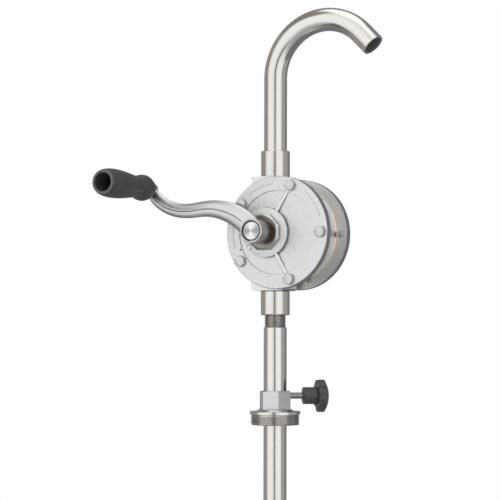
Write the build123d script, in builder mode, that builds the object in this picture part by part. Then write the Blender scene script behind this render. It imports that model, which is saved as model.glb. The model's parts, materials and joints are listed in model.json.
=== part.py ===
from build123d import *

import os
from math import atan2, cos, hypot, pi, radians, sin, tan

# Rotary hand transfer pump for drums: an eccentric two-vane pump on a suction tube, with a bung adapter.
# Millimetres, +Z up. The origin is on the tube's axis, at the underside of the bung adapter's flange.
# +X is the side that the spout points to, and the crank stands on the -Y side.

# ---------------------------------------------------------------- driving dimensions
# Tube, with a 3/4 inch pipe thread at its upper end
tube_od = 28.0
tube_wall = 2.5
tube_foot_z = -850.0
tube_shoulder_z = 105.4
tube_thread_d = 26.4
tube_thread_length = 27.0
tube_chamfer = 0.75

# Sockets between the tubes and the casing's pads
socket_od = 35.2
lower_socket_length = 29.4
upper_socket_length = 32.2
socket_chamfer = 0.8
spigot_d = 30.0
spigot_length = 5.0
spout_insertion = 24.0

# Casing
casing_x = 18.0
casing_z = 218.6
chamber_r = 50.0
casing_wall = 3.6
casing_length = 49.0
port_setback = 22.0
port_d = 22.0
pad_width = 43.0
pad_depth = 36.0
pad_stand = 1.3
pad_corner_r = 2.0
rear_flange_t = 4.5
flange_root_r = 1.0
flange_chamfer = 0.5

# Covers and gaskets
cover_overhang = 14.3
cover_t = 9.5
cover_edge_r = 1.0
gasket_t = 0.5
web_margin = 0.6
web_step = 1.0
rear_cover_t = 5.0
rear_boss_r = 17.0
rear_boss_h = 8.5
rear_boss_root_r = 2.0

# Shaft and rotor
shaft_x = 4.5
shaft_d = 22.0
shaft_end_y = -70.4
rotor_gap = 0.1
rotor_web_front = 3.2
rotor_web_rear = 2.2
journal_d = 16.0
journal_length = 7.5
vane_t = 8.0
vane_root_r = 2.3
vane_gap = 0.05
vane_tuck = 0.1
spring_d = 5.4
spring_wire = 0.9
spring_turns = 6
spring_pocket_d = 6.0
spring_pocket_depth = 12.0
spring_spacing = 24.0

# Shaft boss on the front cover, with its bush, packing and octagonal gland nut
boss_base_r = 29.8
boss_side_h = 4.5
boss_top_r = 22.6
boss_h = 6.0
bush_wall = 3.0
front_bush_length = 4.5
packing_ring_t = 2.0
packing_rings = 2
packing_wall = 4.5
gland_skirt_d = 35.6
gland_af = 42.0
gland_head_h = 6.5
gland_rim_w = 2.0
gland_recess = 1.2
gland_corner_cut = 1.4
rib_w = 3.8
rib_edge_r = 1.1
rib_boss_h = 5.0
rib_end_h = 1.2
rib_bolt_gap = 7.5

# Cover bolts (M8, small hexagon) and rear screws (M4)
bolt_count = 5
bolt_phase = -0.9
bolt_inset = 8.9
bolt_d = 8.0
bolt_af = 12.0
bolt_head_h = 4.6
bolt_depth = 20.0
lug_r = 7.2
lug_length = 8.0
screw_inset = 9.7
screw_d = 4.0
screw_af = 7.0
screw_head_h = 2.8
screw_nut_h = 3.2
screw_end = 1.5
plug_angle = 220.0
plug_inset = 2.4
plug_af = 5.5
plug_head_h = 3.2
spot_face_h = 2.0
spot_face_d = 7.2
plug_d = 4.0
plug_depth = 4.0
vent_angle = 209.4
vent_radius = 40.4
vent_d = 2.4
vent_depth = 3.0

# Crank
hub_d = 29.0
hub_length = 21.6
hub_edge_r = 1.0
hub_counterbore_d = 25.6
hub_counterbore_depth = 3.2
shaft_chamfer = 0.8
circlip_t = 1.2
circlip_setback = 1.4
circlip_bite = 1.1
circlip_gap_deg = 40.0
key_w = 6.0
key_length = 14.0
key_setback = 1.0
key_h = 6.0
key_in_shaft = 3.5
arm_y = -62.0
arm_t = 12.0
arm_lean = 3.5
grip_x = -137.0
grip_z = 274.0
arm_end_t = 8.0
eye_d = 14.0
eye_t = 9.0
eye_edge_r = 1.0

# Grip
grip_gap = 0.3
grip_length = 102.5
grip_end_r = 14.1
grip_mouth_r = 11.3
grip_mouth_depth = 35.0
spindle_d = 9.0
collar_d = 12.0
collar_t = 1.2
nut_washer_d = 18.0
nut_washer_t = 1.2
spindle_nut_af = 13.0
spindle_nut_h = 6.0
spindle_thread_d = 8.0
spindle_end = 2.0
grip_mouth_edge_r = 1.0

# Spout
spout_straight_z = 409.0
spout_bend_r = 67.5
spout_turn = 136.0
spout_end_length = 22.0

# Bung adapter
thread_d = 59.6
thread_length = 12.8
flange_d = 61.4
flange_t = 3.7
flange_edge = 0.6
hex_af = 34.0
hex_top_z = 28.3
neck_h = 2.6
neck_d = 45.0
neck_curve_r = 5.5
adapter_cup_d = 49.0
adapter_cup_top = -3.5
seal_z = 0.8
seal_section = 3.5

# Clamp screw
clamp_angle = 40.0
clamp_z = 22.3
clamp_tip_t = 0.8
clamp_tip_pin_d = 3.0
clamp_tip_pin_length = 5.0
stud_d = 8.0
stud_chamfer = 0.4
stem_start = 35.0
stem_d = 20.6
stem_length = 16.9
knob_d = 40.0
knob_t = 14.2
knob_lobes = 5
knob_phase = 15.0
knob_valley_r = 6.5
knob_valley_depth = 3.2
knob_dome = 6.0
knob_edge_r = 1.6
stud_in_knob = 20.0

# Clearances
slide_gap = 0.3
run_gap = 0.05
seat_gap = 0.02
hole_gap = 0.1
cut_over = 1.0

# ---------------------------------------------------------------- derived places
tube_r = tube_od / 2
socket_r = socket_od / 2
casing_r = chamber_r + casing_wall
cover_r = casing_r + cover_overhang
pad_reach = cover_r + pad_stand
web_step_r = chamber_r + web_margin
bolt_circle_r = cover_r - bolt_inset
screw_circle_r = cover_r - screw_inset
plug_radius = boss_base_r - plug_inset
shaft_r = shaft_d / 2
eccentricity = casing_x - shaft_x
rotor_r = chamber_r - eccentricity - rotor_gap

y_casing_front = -port_setback
y_cover_back = y_casing_front - gasket_t
y_cover_face = y_cover_back - cover_t
y_web = y_cover_face + web_step
y_casing_back = y_casing_front + casing_length
y_rear_cover = y_casing_back + gasket_t
y_rear_face = y_rear_cover + rear_cover_t

lower_pad_z = casing_z - pad_reach
upper_pad_z = casing_z + pad_reach
lower_socket_z = lower_pad_z - lower_socket_length
upper_socket_z = upper_pad_z + upper_socket_length

y_bush_back = y_cover_back - rotor_web_front - run_gap
y_packing = y_bush_back - front_bush_length
y_gland = y_packing - packing_rings * packing_ring_t
y_boss_top = y_web - boss_h
y_plug = y_web - spot_face_h
y_gland_face = y_boss_top - gland_head_h
y_hub_back = shaft_end_y + hub_length
y_circlip = shaft_end_y + circlip_setback

shaft_z = casing_z
window_mid = (y_casing_front + y_casing_back) / 2
vane_width = casing_length - 2 * hole_gap
vane_tip_r = rotor_r - vane_tuck
vane_length = vane_tip_r - vane_root_r

bore_r = tube_r + slide_gap
hex_r = hex_af / 2
y_eye = arm_y - arm_lean
y_eye_face = y_eye - eye_t / 2
y_grip_back = y_eye_face - collar_t - grip_gap
y_grip_end = y_grip_back - grip_length
y_mouth_floor = y_grip_end + grip_mouth_depth
y_nut_seat = y_mouth_floor - grip_gap - nut_washer_t


def facing(x, y, z):
    """A plane across the shaft's direction: its x is +X, its y is +Z and its normal is -Y, to the front."""
    return Plane(origin=(x, y, z), x_dir=(1, 0, 0), z_dir=(0, -1, 0))


def clamp_plane(distance):
    """A plane across the clamp screw, at a distance from the tube's axis, facing outwards."""
    turn = radians(clamp_angle)
    return Plane(
        origin=(distance * cos(turn), distance * sin(turn), clamp_z),
        x_dir=(-sin(turn), cos(turn), 0),
        z_dir=(cos(turn), sin(turn), 0),
    )


def finish(builder, name):
    """Label a finished piece and write it to its own STEP file."""
    builder.part.label = name
    export_step(builder.part, f"parts/{name}.step")


os.makedirs("parts", exist_ok=True)

# ---------------------------------------------------------------- bung adapter, seal and clamp screw
with BuildPart() as bung_adapter:
    with BuildSketch(Plane.XY.offset(-thread_length)):
        Circle(thread_d / 2)
    extrude(amount=thread_length)
    with BuildSketch(Plane.XY):
        Circle(flange_d / 2)
    extrude(amount=flange_t)
    chamfer(bung_adapter.edges().group_by(Axis.Z)[-1], flange_edge)
    chamfer(bung_adapter.edges().group_by(Axis.Z)[0], flange_edge)
    # A hollow curve flares from the hexagon's foot to the flange.
    with BuildSketch(Plane.XZ):
        with BuildLine():
            RadiusArc((hex_r, flange_t + neck_h), (neck_d / 2, flange_t), neck_curve_r)
            Polyline(
                (neck_d / 2, flange_t),
                (0, flange_t),
                (0, flange_t + neck_h),
                (hex_r, flange_t + neck_h),
            )
        make_face()
    revolve(axis=Axis.Z)
    # The hexagon's flats are square to the clamp screw, and its corners are turned off at the top.
    with BuildSketch(Plane.XY.offset(flange_t)):
        RegularPolygon(hex_r, 6, major_radius=False, rotation=clamp_angle + 30)
    extrude(amount=hex_top_z - flange_t)
    corner_r = hex_r / cos(radians(30))
    corner_cut = corner_r - hex_r
    with BuildSketch(Plane.XZ):
        with BuildLine():
            Polyline(
                (hex_r, hex_top_z),
                (corner_r + corner_cut, hex_top_z),
                (corner_r + corner_cut, hex_top_z - 2 * corner_cut * tan(radians(30))),
                close=True,
            )
        make_face()
    revolve(axis=Axis.Z, mode=Mode.SUBTRACT)
    with BuildSketch(Plane.XY.offset(-thread_length)):
        Circle(adapter_cup_d / 2)
    extrude(amount=thread_length + adapter_cup_top, mode=Mode.SUBTRACT)
    with BuildSketch(Plane.XY.offset(-thread_length)):
        Circle(bore_r)
    extrude(amount=thread_length + hex_top_z, mode=Mode.SUBTRACT)
    with BuildSketch(Plane.XY.offset(seal_z - seal_section / 2 - hole_gap)):
        Circle(tube_r + seal_section - run_gap)
    extrude(amount=seal_section + 2 * hole_gap, mode=Mode.SUBTRACT)
    with BuildSketch(clamp_plane(0)):
        Circle(stud_d / 2 + hole_gap)
    extrude(amount=corner_r, mode=Mode.SUBTRACT)
finish(bung_adapter, "bung_adapter")

with BuildPart() as tube_seal:
    seal_r = (seal_section - 3 * run_gap) / 2
    with BuildSketch(Plane.XZ):
        with Locations((tube_r + run_gap + seal_r, seal_z)):
            Circle(seal_r)
    revolve(axis=Axis.Z)
finish(tube_seal, "tube_seal")

tip_start = tube_r + slide_gap
with BuildPart() as clamp_tip:
    with BuildSketch(clamp_plane(tip_start)):
        Circle(stud_d / 2 - 2 * hole_gap)
    extrude(amount=clamp_tip_t)
    with BuildSketch(clamp_plane(tip_start + clamp_tip_t)):
        Circle(clamp_tip_pin_d / 2)
    extrude(amount=clamp_tip_pin_length)
finish(clamp_tip, "clamp_tip")

stud_start = tip_start + clamp_tip_t + run_gap
stud_end = stem_start + stud_in_knob
with BuildPart() as clamp_stud:
    with BuildSketch(clamp_plane(stud_start)):
        Circle(stud_d / 2)
    extrude(amount=stud_end - stud_start)
    chamfer(clamp_stud.edges(), stud_chamfer)
    with BuildSketch(clamp_plane(stud_start)):
        Circle(clamp_tip_pin_d / 2 + run_gap)
    extrude(amount=clamp_tip_pin_length + run_gap, mode=Mode.SUBTRACT)
finish(clamp_stud, "clamp_stud")

knob_start = stem_start + stem_length
knob_valley_centre_r = knob_d / 2 + knob_valley_r - knob_valley_depth
with BuildPart() as clamp_knob:
    with BuildSketch(clamp_plane(knob_start)):
        Circle(knob_d / 2)
        with PolarLocations(knob_valley_centre_r, knob_lobes, start_angle=knob_phase):
            Circle(knob_valley_r, mode=Mode.SUBTRACT)
    extrude(amount=knob_t)
    # The outer face is domed: a ball trims the star's outer edge.
    dome_r = ((knob_d / 2) ** 2 + knob_dome**2) / (2 * knob_dome)
    with Locations(clamp_plane(knob_start + knob_t - dome_r)):
        Sphere(dome_r, mode=Mode.INTERSECT)
    fillet(clamp_knob.faces().filter_by(GeomType.PLANE).edges(), knob_edge_r)
    with BuildSketch(clamp_plane(stem_start)):
        Circle(stem_d / 2)
    extrude(amount=stem_length + knob_t / 2)
    with BuildSketch(clamp_plane(stem_start)):
        Circle(stud_d / 2 + seat_gap)
    extrude(amount=stud_in_knob + seat_gap, mode=Mode.SUBTRACT)
finish(clamp_knob, "clamp_knob")

# ---------------------------------------------------------------- suction tube and sockets
with BuildPart() as suction_tube:
    with BuildSketch(Plane.XY.offset(tube_foot_z)):
        Circle(tube_r)
    extrude(amount=tube_shoulder_z - tube_foot_z)
    chamfer(suction_tube.edges().group_by(Axis.Z)[-1], tube_chamfer)
    with BuildSketch(Plane.XY.offset(tube_shoulder_z)):
        Circle(tube_thread_d / 2)
    extrude(amount=tube_thread_length)
    with BuildSketch(Plane.XY.offset(tube_foot_z)):
        Circle(tube_r - tube_wall)
    extrude(amount=tube_shoulder_z + tube_thread_length - tube_foot_z, mode=Mode.SUBTRACT)
finish(suction_tube, "suction_tube")

with BuildPart() as inlet_socket:
    with BuildSketch(Plane.XY.offset(lower_socket_z)):
        Circle(socket_r)
    extrude(amount=lower_socket_length)
    chamfer(inlet_socket.edges(), socket_chamfer)
    with BuildSketch(Plane.XY.offset(lower_pad_z)):
        Circle(spigot_d / 2)
    extrude(amount=spigot_length)
    with BuildSketch(Plane.XY.offset(lower_socket_z)):
        Circle(tube_thread_d / 2 + seat_gap)
    extrude(amount=tube_shoulder_z + tube_thread_length - lower_socket_z, mode=Mode.SUBTRACT)
    with BuildSketch(Plane.XY.offset(lower_socket_z)):
        Circle(port_d / 2)
    extrude(amount=lower_socket_length + spigot_length, mode=Mode.SUBTRACT)
finish(inlet_socket, "inlet_socket")

with BuildPart() as outlet_socket:
    with BuildSketch(Plane.XY.offset(upper_pad_z)):
        Circle(socket_r)
    extrude(amount=upper_socket_length)
    chamfer(outlet_socket.edges(), socket_chamfer)
    with BuildSketch(Plane.XY.offset(upper_pad_z - spigot_length)):
        Circle(spigot_d / 2)
    extrude(amount=spigot_length)
    with BuildSketch(Plane.XY.offset(upper_socket_z - spout_insertion)):
        Circle(tube_r + seat_gap)
    extrude(amount=spout_insertion, mode=Mode.SUBTRACT)
    with BuildSketch(Plane.XY.offset(upper_pad_z - spigot_length)):
        Circle(port_d / 2)
    extrude(amount=upper_socket_length + spigot_length, mode=Mode.SUBTRACT)
finish(outlet_socket, "outlet_socket")

spout_start_z = upper_socket_z - spout_insertion
with BuildPart() as discharge_spout:
    with BuildLine() as spout_path:
        riser = Line((0, 0, spout_start_z), (0, 0, spout_straight_z))
        bend = ThreePointArc(
            riser @ 1,
            (
                spout_bend_r * (1 - cos(radians(spout_turn / 2))),
                0,
                spout_straight_z + spout_bend_r * sin(radians(spout_turn / 2)),
            ),
            (
                spout_bend_r * (1 - cos(radians(spout_turn))),
                0,
                spout_straight_z + spout_bend_r * sin(radians(spout_turn)),
            ),
        )
        Line(bend @ 1, bend @ 1 + (bend % 1) * spout_end_length)
    with BuildSketch(Plane.XY.offset(spout_start_z)):
        Circle(tube_r)
        Circle(tube_r - tube_wall, mode=Mode.SUBTRACT)
    sweep()
finish(discharge_spout, "discharge_spout")

# ---------------------------------------------------------------- casing
with BuildPart() as pump_casing:
    with BuildSketch(facing(casing_x, y_casing_back, casing_z)):
        Circle(casing_r)
    extrude(amount=casing_length)
    with BuildSketch(facing(casing_x, y_casing_back, casing_z)):
        Circle(cover_r)
    extrude(amount=rear_flange_t)
    chamfer(pump_casing.edges().group_by(Axis.Y)[-1], flange_chamfer)
    rings = pump_casing.edges().filter_by(GeomType.CIRCLE).group_by(SortBy.RADIUS)[0]
    fillet(rings.sort_by(Axis.Y)[-1], flange_root_r)
    with BuildSketch(facing(0, y_casing_front, casing_z)):
        RectangleRounded(pad_width, 2 * pad_reach, pad_corner_r)
    extrude(amount=-pad_depth)
    with BuildSketch(facing(casing_x, y_casing_front, casing_z)):
        with PolarLocations(bolt_circle_r, bolt_count, start_angle=bolt_phase):
            Circle(lug_r)
    extrude(amount=-lug_length)
    with BuildSketch(facing(casing_x, y_casing_back, casing_z)):
        Circle(chamber_r)
    extrude(amount=casing_length, mode=Mode.SUBTRACT)
    with BuildSketch(Plane.XY.offset(lower_pad_z)):
        Circle(port_d / 2)
    extrude(amount=2 * pad_reach, mode=Mode.SUBTRACT)
    with BuildSketch(Plane.XY.offset(lower_pad_z)):
        Circle(spigot_d / 2 + seat_gap)
    extrude(amount=spigot_length, mode=Mode.SUBTRACT)
    with BuildSketch(Plane.XY.offset(upper_pad_z)):
        Circle(spigot_d / 2 + seat_gap)
    extrude(amount=-spigot_length, mode=Mode.SUBTRACT)
    with BuildSketch(facing(casing_x, y_casing_front, casing_z)):
        with PolarLocations(bolt_circle_r, bolt_count, start_angle=bolt_phase):
            Circle(bolt_d / 2 + hole_gap)
    extrude(amount=-(bolt_depth - cover_t - gasket_t + cut_over), mode=Mode.SUBTRACT)
    with BuildSketch(facing(casing_x, y_casing_back, casing_z)):
        with PolarLocations(screw_circle_r, bolt_count, start_angle=bolt_phase):
            Circle(screw_d / 2 + hole_gap)
    extrude(amount=rear_flange_t, mode=Mode.SUBTRACT)
finish(pump_casing, "pump_casing")

# ---------------------------------------------------------------- front cover with its boss and ribs
def rib_to_bolt(number):
    """The angle and the reach, from the shaft, of the rib that runs towards one of the cover's bolts."""
    turn = radians(bolt_phase + number * 360 / bolt_count)
    run = bolt_circle_r * cos(turn) + eccentricity
    rise = bolt_circle_r * sin(turn)
    return atan2(rise, run), hypot(run, rise) - rib_bolt_gap


ribs = (rib_to_bolt(1), rib_to_bolt(-1), (pi, web_step_r - eccentricity))

with BuildPart() as front_cover:
    with BuildSketch(facing(casing_x, y_cover_back, casing_z)):
        Circle(cover_r)
    extrude(amount=cover_t)
    fillet(front_cover.edges().group_by(Axis.Y)[0], cover_edge_r)
    with BuildSketch(facing(casing_x, y_cover_face, casing_z)):
        Circle(web_step_r)
    extrude(amount=-web_step, mode=Mode.SUBTRACT)
    # The boss: a short drum with a gently coned top, which the gland nut seats on.
    with BuildSketch(Plane(origin=(shaft_x, y_web, shaft_z), x_dir=(1, 0, 0), z_dir=(0, 0, -1))):
        with BuildLine():
            Polyline(
                (0, 0),
                (boss_base_r, 0),
                (boss_base_r, boss_side_h),
                (boss_top_r, boss_h),
                (0, boss_h),
                close=True,
            )
        make_face()
    revolve(axis=Axis((shaft_x, y_web, shaft_z), (0, -1, 0)))
    # Ribs with rounded tops slope from the boss to the two right-hand bolts, and to the left of the shaft.
    for turn, reach in ribs:
        outwards = (cos(turn), 0, sin(turn))
        across = (-sin(turn), 0, cos(turn))
        for distance, height in ((boss_top_r, rib_boss_h), (reach, rib_end_h)):
            foot = (shaft_x + distance * cos(turn), y_web, shaft_z + distance * sin(turn))
            with BuildSketch(Plane(origin=foot, x_dir=across, z_dir=outwards)) as rib_section:
                Rectangle(rib_w, height, align=(Align.CENTER, Align.MIN))
                fillet(rib_section.vertices().group_by(Axis.Y)[-1], rib_edge_r)
        loft()
    with BuildSketch(facing(shaft_x, y_cover_back, shaft_z)):
        Circle(rotor_r + slide_gap)
    extrude(amount=rotor_web_front + run_gap, mode=Mode.SUBTRACT)
    with BuildSketch(facing(shaft_x, y_bush_back, shaft_z)):
        Circle(shaft_r + run_gap + bush_wall + seat_gap)
    extrude(amount=front_bush_length, mode=Mode.SUBTRACT)
    with BuildSketch(facing(shaft_x, y_packing, shaft_z)):
        Circle(shaft_r + run_gap + packing_wall + seat_gap)
    extrude(amount=packing_rings * packing_ring_t, mode=Mode.SUBTRACT)
    with BuildSketch(facing(shaft_x, y_gland, shaft_z)):
        Circle(gland_skirt_d / 2 + seat_gap)
    extrude(amount=y_gland - y_boss_top, mode=Mode.SUBTRACT)
    with BuildSketch(facing(casing_x, y_cover_back, casing_z)):
        with PolarLocations(bolt_circle_r, bolt_count, start_angle=bolt_phase):
            Circle(bolt_d / 2 + hole_gap)
    extrude(amount=cover_t, mode=Mode.SUBTRACT)
    # A spot face in the boss's edge carries the small plug.
    with BuildSketch(facing(shaft_x, y_plug, shaft_z)):
        with PolarLocations(plug_radius, 1, start_angle=plug_angle):
            Circle(spot_face_d / 2)
    extrude(amount=boss_h, mode=Mode.SUBTRACT)
    with BuildSketch(facing(shaft_x, y_plug, shaft_z)):
        with PolarLocations(plug_radius, 1, start_angle=plug_angle):
            Circle(plug_d / 2 + seat_gap)
    extrude(amount=-plug_depth, mode=Mode.SUBTRACT)
    with BuildSketch(facing(shaft_x, y_cover_face, shaft_z)):
        with PolarLocations(vent_radius, 1, start_angle=vent_angle):
            Circle(vent_d / 2)
    extrude(amount=-vent_depth, mode=Mode.SUBTRACT)
finish(front_cover, "front_cover")

with BuildPart() as rear_cover:
    with BuildSketch(facing(casing_x, y_rear_face, casing_z)):
        Circle(cover_r)
    extrude(amount=rear_cover_t)
    fillet(rear_cover.edges().group_by(Axis.Y)[-1], cover_edge_r)
    with BuildSketch(facing(shaft_x, y_rear_face, shaft_z)):
        Circle(rear_boss_r)
    extrude(amount=-rear_boss_h)
    fillet(rear_cover.edges().group_by(Axis.Y)[-1], rear_boss_root_r)
    with BuildSketch(facing(shaft_x, y_rear_cover, shaft_z)):
        Circle(rotor_r + slide_gap)
    extrude(amount=-(rotor_web_rear + run_gap), mode=Mode.SUBTRACT)
    with BuildSketch(facing(shaft_x, y_rear_cover + rotor_web_rear + run_gap, shaft_z)):
        Circle(journal_d / 2 + run_gap + bush_wall + seat_gap)
    extrude(amount=-(journal_length + cut_over), mode=Mode.SUBTRACT)
    with BuildSketch(facing(casing_x, y_rear_face, casing_z)):
        with PolarLocations(screw_circle_r, bolt_count, start_angle=bolt_phase):
            Circle(screw_d / 2 + hole_gap)
    extrude(amount=rear_cover_t, mode=Mode.SUBTRACT)
finish(rear_cover, "rear_cover")

with BuildPart() as front_gasket:
    with BuildSketch(facing(casing_x, y_casing_front, casing_z)):
        Circle(casing_r)
        with PolarLocations(bolt_circle_r, bolt_count, start_angle=bolt_phase):
            Circle(lug_r)
        Circle(chamber_r, mode=Mode.SUBTRACT)
        with PolarLocations(bolt_circle_r, bolt_count, start_angle=bolt_phase):
            Circle(bolt_d / 2 + hole_gap, mode=Mode.SUBTRACT)
    extrude(amount=gasket_t)
finish(front_gasket, "front_gasket")

with BuildPart() as rear_gasket:
    with BuildSketch(facing(casing_x, y_rear_cover, casing_z)):
        Circle(cover_r - cover_edge_r)
        Circle(chamber_r, mode=Mode.SUBTRACT)
        with PolarLocations(screw_circle_r, bolt_count, start_angle=bolt_phase):
            Circle(screw_d / 2 + hole_gap, mode=Mode.SUBTRACT)
    extrude(amount=gasket_t)
finish(rear_gasket, "rear_gasket")

# ---------------------------------------------------------------- bolts, screws and plug
bolt_corner_r = bolt_af / 2 / cos(radians(30))
bolt_corner_cut = bolt_corner_r - bolt_af / 2
with BuildPart() as cover_bolts:
    with BuildSketch(facing(casing_x, y_cover_face, casing_z)):
        with PolarLocations(bolt_circle_r, bolt_count, start_angle=bolt_phase):
            RegularPolygon(bolt_af / 2, 6, major_radius=False)
    extrude(amount=bolt_head_h)
    for place in PolarLocations(bolt_circle_r, bolt_count, start_angle=bolt_phase).locations:
        head_x = casing_x + place.position.X
        head_z = casing_z + place.position.Y
        with BuildSketch(Plane(origin=(head_x, y_cover_face, head_z), x_dir=(1, 0, 0), z_dir=(0, 0, -1))):
            with BuildLine():
                Polyline(
                    (bolt_af / 2, bolt_head_h),
                    (bolt_corner_r + bolt_corner_cut, bolt_head_h),
                    (bolt_corner_r + bolt_corner_cut, bolt_head_h - 2 * bolt_corner_cut * tan(radians(30))),
                    close=True,
                )
            make_face()
        revolve(axis=Axis((head_x, y_cover_face, head_z), (0, -1, 0)), mode=Mode.SUBTRACT)
    with BuildSketch(facing(casing_x, y_cover_face, casing_z)):
        with PolarLocations(bolt_circle_r, bolt_count, start_angle=bolt_phase):
            Circle(bolt_d / 2)
    extrude(amount=-bolt_depth)
finish(cover_bolts, "cover_bolts")

with BuildPart() as rear_screws:
    with BuildSketch(facing(casing_x, y_rear_face, casing_z)):
        with PolarLocations(screw_circle_r, bolt_count, start_angle=bolt_phase):
            RegularPolygon(screw_af / 2, 6, major_radius=False, rotation=30)
    extrude(amount=-screw_head_h)
    with BuildSketch(facing(casing_x, y_rear_face, casing_z)):
        with PolarLocations(screw_circle_r, bolt_count, start_angle=bolt_phase):
            Circle(screw_d / 2)
    extrude(amount=rear_cover_t + gasket_t + rear_flange_t + screw_nut_h + screw_end)
finish(rear_screws, "rear_screws")

with BuildPart() as rear_nuts:
    with BuildSketch(facing(casing_x, y_casing_back - rear_flange_t, casing_z)):
        with PolarLocations(screw_circle_r, bolt_count, start_angle=bolt_phase):
            RegularPolygon(screw_af / 2, 6, major_radius=False, rotation=30)
            Circle(screw_d / 2 + seat_gap, mode=Mode.SUBTRACT)
    extrude(amount=screw_nut_h)
finish(rear_nuts, "rear_nuts")

with BuildPart() as grease_plug:
    with BuildSketch(facing(shaft_x, y_plug, shaft_z)):
        with PolarLocations(plug_radius, 1, start_angle=plug_angle):
            RegularPolygon(plug_af / 2, 6, major_radius=False)
    extrude(amount=plug_head_h)
    with BuildSketch(facing(shaft_x, y_plug, shaft_z)):
        with PolarLocations(plug_radius, 1, start_angle=plug_angle):
            Circle(plug_d / 2)
    extrude(amount=-(plug_depth - hole_gap))
finish(grease_plug, "grease_plug")

# ---------------------------------------------------------------- bushes, packing and gland nut
with BuildPart() as front_bush:
    with BuildSketch(facing(shaft_x, y_bush_back, shaft_z)):
        Circle(shaft_r + run_gap + bush_wall)
        Circle(shaft_r + run_gap, mode=Mode.SUBTRACT)
    extrude(amount=front_bush_length)
finish(front_bush, "front_bush")

with BuildPart() as rear_bush:
    with BuildSketch(facing(shaft_x, y_rear_cover + rotor_web_rear + 2 * run_gap, shaft_z)):
        Circle(journal_d / 2 + run_gap + bush_wall)
        Circle(journal_d / 2 + run_gap, mode=Mode.SUBTRACT)
    extrude(amount=-journal_length)
finish(rear_bush, "rear_bush")

with BuildPart() as shaft_packing:
    for ring in range(packing_rings):
        with BuildSketch(facing(shaft_x, y_packing - ring * packing_ring_t, shaft_z)):
            Circle(shaft_r + run_gap + packing_wall)
            Circle(shaft_r + run_gap, mode=Mode.SUBTRACT)
        extrude(amount=packing_ring_t - seat_gap)
finish(shaft_packing, "shaft_packing")

gland_r = gland_af / 2
with BuildPart() as gland_nut:
    with BuildSketch(facing(shaft_x, y_boss_top, shaft_z)):
        RegularPolygon(gland_r, 8, major_radius=False, rotation=22.5)
    extrude(amount=gland_head_h)
    # The octagon's corners are turned off at the front.
    with BuildSketch(Plane(origin=(shaft_x, y_gland_face, shaft_z), x_dir=(1, 0, 0), z_dir=(0, 0, 1))):
        with BuildLine():
            Polyline(
                (gland_r - gland_corner_cut, 0),
                (gland_r + 2 * gland_corner_cut, 0),
                (gland_r + 2 * gland_corner_cut, 3 * gland_corner_cut),
                close=True,
            )
        make_face()
    revolve(axis=Axis((shaft_x, y_gland_face, shaft_z), (0, 1, 0)), mode=Mode.SUBTRACT)
    with BuildSketch(facing(shaft_x, y_gland, shaft_z)):
        Circle(gland_skirt_d / 2)
    extrude(amount=y_gland - y_boss_top)
    with BuildSketch(facing(shaft_x, y_gland, shaft_z)):
        Circle(shaft_r + slide_gap)
    extrude(amount=y_gland - y_gland_face, mode=Mode.SUBTRACT)
    with BuildSketch(facing(shaft_x, y_gland_face, shaft_z)):
        Circle(gland_r - gland_rim_w)
    extrude(amount=-gland_recess, mode=Mode.SUBTRACT)
finish(gland_nut, "gland_nut")

# ---------------------------------------------------------------- rotor, vanes and springs
with BuildPart() as rotor_shaft:
    with BuildSketch(facing(shaft_x, y_rear_cover + rotor_web_rear, shaft_z)):
        Circle(rotor_r)
    extrude(amount=y_rear_cover + rotor_web_rear - y_cover_back + rotor_web_front)
    # The slot runs through the middle, between the two end webs, so both vanes share it.
    with BuildSketch(facing(shaft_x, y_casing_back, shaft_z)):
        Rectangle(vane_t + 2 * vane_gap, 2 * (rotor_r + cut_over))
    extrude(amount=casing_length, mode=Mode.SUBTRACT)
    with BuildSketch(facing(shaft_x, y_cover_back, shaft_z)):
        Circle(shaft_r)
    extrude(amount=y_cover_back - shaft_end_y)
    chamfer(rotor_shaft.edges().group_by(Axis.Y)[0], shaft_chamfer)
    with BuildSketch(facing(shaft_x, y_rear_cover + rotor_web_rear, shaft_z)):
        Circle(journal_d / 2)
    extrude(amount=-journal_length)
    with BuildSketch(facing(shaft_x, y_circlip + circlip_t + seat_gap, shaft_z)):
        Circle(shaft_r + cut_over)
        Circle(shaft_r - circlip_bite, mode=Mode.SUBTRACT)
    extrude(amount=circlip_t + 2 * seat_gap, mode=Mode.SUBTRACT)
    with BuildSketch(facing(shaft_x, y_hub_back - key_setback, shaft_z)):
        with Locations((0, shaft_r + (cut_over - key_in_shaft) / 2)):
            Rectangle(key_w + 2 * seat_gap, key_in_shaft + cut_over)
    extrude(amount=key_length + 2 * seat_gap, mode=Mode.SUBTRACT)
finish(rotor_shaft, "rotor_shaft")

for name, side in (("upper_vane", 1), ("lower_vane", -1)):
    with BuildPart() as vane:
        # Its tip is a half round, which rides on the chamber's wall.
        with BuildSketch(facing(shaft_x, y_casing_back - hole_gap, shaft_z)):
            with Locations((0, side * (vane_root_r + vane_length / 2 - vane_t / 4))):
                Rectangle(vane_t, vane_length - vane_t / 2)
            with Locations((0, side * (vane_tip_r - vane_t / 2))):
                Circle(vane_t / 2)
        extrude(amount=vane_width)
        with BuildSketch(Plane.XY.offset(shaft_z + side * vane_root_r)):
            with Locations((shaft_x, window_mid)):
                with GridLocations(0, spring_spacing, 1, 2):
                    Circle(spring_pocket_d / 2)
        extrude(amount=side * spring_pocket_depth, mode=Mode.SUBTRACT)
    finish(vane, name)

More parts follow.
